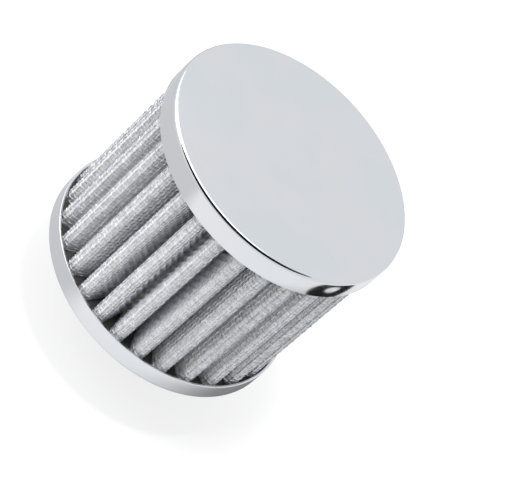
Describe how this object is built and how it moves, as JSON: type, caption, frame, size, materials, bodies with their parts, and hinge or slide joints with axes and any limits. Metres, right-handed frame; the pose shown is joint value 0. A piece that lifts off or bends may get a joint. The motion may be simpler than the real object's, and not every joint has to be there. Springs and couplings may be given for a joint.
{
  "type": "crankcase breather filter",
  "caption": "Round push-in crankcase breather filter with a chromed cap and base, a pleated wire-screened gauze element and a steel neck in a rubber grommet.",
  "frame": {"origin": "on the axis, in the plane of the neck's lower end", "axes": "+Z along the axis, from the neck to the cap; X and Y across"},
  "size_m": [0.0762, 0.0762, 0.0835],
  "materials": {
    "shell_chrome": "bright chrome plate on drawn sheet steel",
    "neck_chrome": "chrome plate on steel tube",
    "screen_wire": "fine woven wire, dull grey",
    "cotton_gauze": "off-white woven cotton",
    "potting": "cast black urethane, satin",
    "grommet_rubber": "moulded black rubber, satin"
  },
  "bodies": {
    "root": {"top_cap": "shell_chrome", "cap_potting": "potting", "outer_screen": "screen_wire", "gauze": "cotton_gauze", "inner_screen": "screen_wire", "base_potting": "potting", "base_pan": "shell_chrome", "neck_tube": "neck_chrome", "grommet": "grommet_rubber"}
  },
  "joints": []
}
